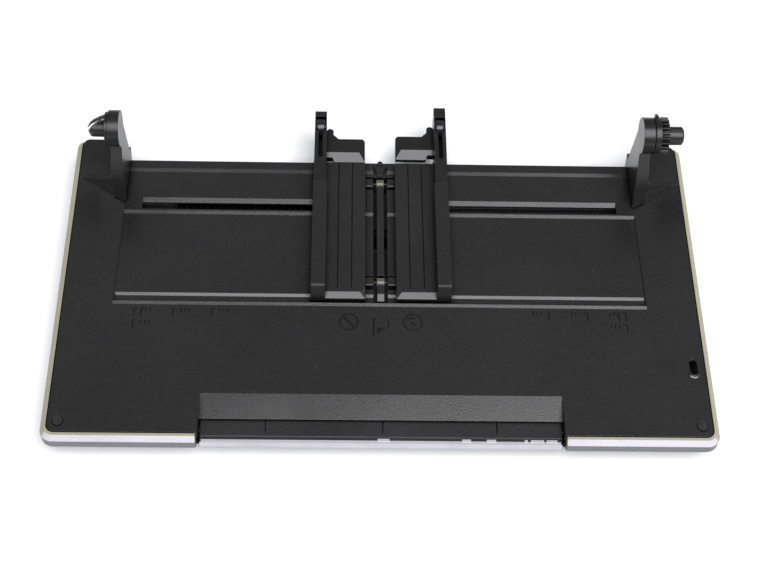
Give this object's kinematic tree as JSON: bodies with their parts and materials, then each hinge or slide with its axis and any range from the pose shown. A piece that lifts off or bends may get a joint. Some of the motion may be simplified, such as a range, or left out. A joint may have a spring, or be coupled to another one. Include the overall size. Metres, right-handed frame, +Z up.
{
  "type": "document feeder input tray",
  "caption": "Black sheet feeder input tray in a light rim, with two geared width guides, a pull-out front support and two rear hinge arms with a snap pin and a toothed stub.",
  "frame": {"origin": "middle of the flat underside, under the midpoint of the tray depth", "axes": "+X to the right as the user faces the tray, +Y to the rear, towards the scanner and the hinge arms, +Z up"},
  "size_m": [0.2832, 0.1762, 0.0548],
  "materials": {
    "tray_black": "fine moulded texture",
    "guide_black": "fine moulded texture",
    "tail_black": "smooth",
    "arm_black": "smooth satin",
    "rim_cream": "satin paint",
    "cover_grey": "fine moulded texture",
    "extension_black": "satin",
    "trim_silver": "satin",
    "rack_black": "smooth acetal",
    "pin_black": "smooth acetal",
    "pinion_black": "smooth acetal",
    "roller_ivory": "polished",
    "edge_roller_dark": "polished",
    "steel": "plated",
    "spring_steel": "rolled",
    "pad_rubber": "matt"
  },
  "bodies": {
    "base": {"tray_insert": "tray_black", "left_rim": "rim_cream", "right_rim": "rim_cream", "bottom_cover": "cover_grey", "cover_screws": "steel", "arm_screws": "steel", "pinion_screw": "steel", "pinion_washer": "steel", "centre_rail": "guide_black", "rail_rear_guide": "guide_black", "rail_screw": "steel", "roller_pins": "pin_black", "roller_clips": "guide_black", "extension_spring": "spring_steel", "spring_screw": "steel", "rack_spring": "spring_steel", "right_hinge_arm": "arm_black", "left_hinge_arm": "arm_black", "left_snap_pin": "arm_black", "bumper_pads": "pad_rubber"},
    "left_guide_body": {"left_guide": "guide_black", "left_guide_tail": "tail_black", "left_edge_pin": "steel", "left_rack": "rack_black", "left_rack_screws": "steel"},
    "right_guide_body": {"right_guide": "guide_black", "right_guide_tail": "tail_black", "right_edge_pin": "steel", "right_rack": "rack_black", "right_rack_screws": "steel"},
    "pinion_body": {"pinion": "pinion_black"},
    "extension_body": {"extension_slide": "extension_black", "extension_trim": "trim_silver"},
    "left_edge_roller_body": {"left_edge_roller": "edge_roller_dark"},
    "right_edge_roller_body": {"right_edge_roller": "edge_roller_dark"},
    "front_roller_body": {"front_centre_roller": "roller_ivory"},
    "rear_roller_body": {"rear_centre_roller": "roller_ivory"},
    "pivot_gear_body": {"pivot_gear": "arm_black"}
  },
  "joints": [
    {"name": "left_guide_slide", "type": "slide", "parent": "base", "child": "left_guide_body", "axis": [-1, 0, 0], "range_m": [0, 0.0833]},
    {"name": "right_guide_slide", "type": "slide", "parent": "base", "child": "right_guide_body", "axis": [1, 0, 0], "range_m": [0, 0.0833]},
    {"name": "pinion_spin", "type": "hinge", "parent": "base", "child": "pinion_body", "pos_m": [0, 0.0405, 0.0052], "axis": [0, 0, -1], "range_deg": [0, 600]},
    {"name": "extension_pull", "type": "slide", "parent": "base", "child": "extension_body", "axis": [0, -1, 0], "range_m": [0, 0.075]},
    {"name": "left_edge_roller_spin", "type": "hinge", "parent": "left_guide_body", "child": "left_edge_roller_body", "pos_m": [-0.0279, 0.0851, 0.0211], "axis": [1, 0, 0], "continuous": true},
    {"name": "right_edge_roller_spin", "type": "hinge", "parent": "right_guide_body", "child": "right_edge_roller_body", "pos_m": [0.0279, 0.0855, 0.0211], "axis": [1, 0, 0], "continuous": true},
    {"name": "front_centre_roller_spin", "type": "hinge", "parent": "base", "child": "front_roller_body", "pos_m": [0, 0.0025, 0.01299], "axis": [1, 0, 0], "continuous": true},
    {"name": "rear_centre_roller_spin", "type": "hinge", "parent": "base", "child": "rear_roller_body", "pos_m": [0, 0.0602, 0.00991], "axis": [1, 0, 0], "continuous": true},
    {"name": "pivot_gear_turn", "type": "hinge", "parent": "base", "child": "pivot_gear_body", "pos_m": [0.1256, 0.0623, 0.0459], "axis": [1, 0, 0], "range_deg": [-5, 100]}
  ],
  "couplings": [
    {"joint": "right_guide_slide", "follows": "left_guide_slide", "ratio": 1},
    {"joint": "pinion_spin", "follows": "left_guide_slide", "rad_per_m": 125}
  ]
}
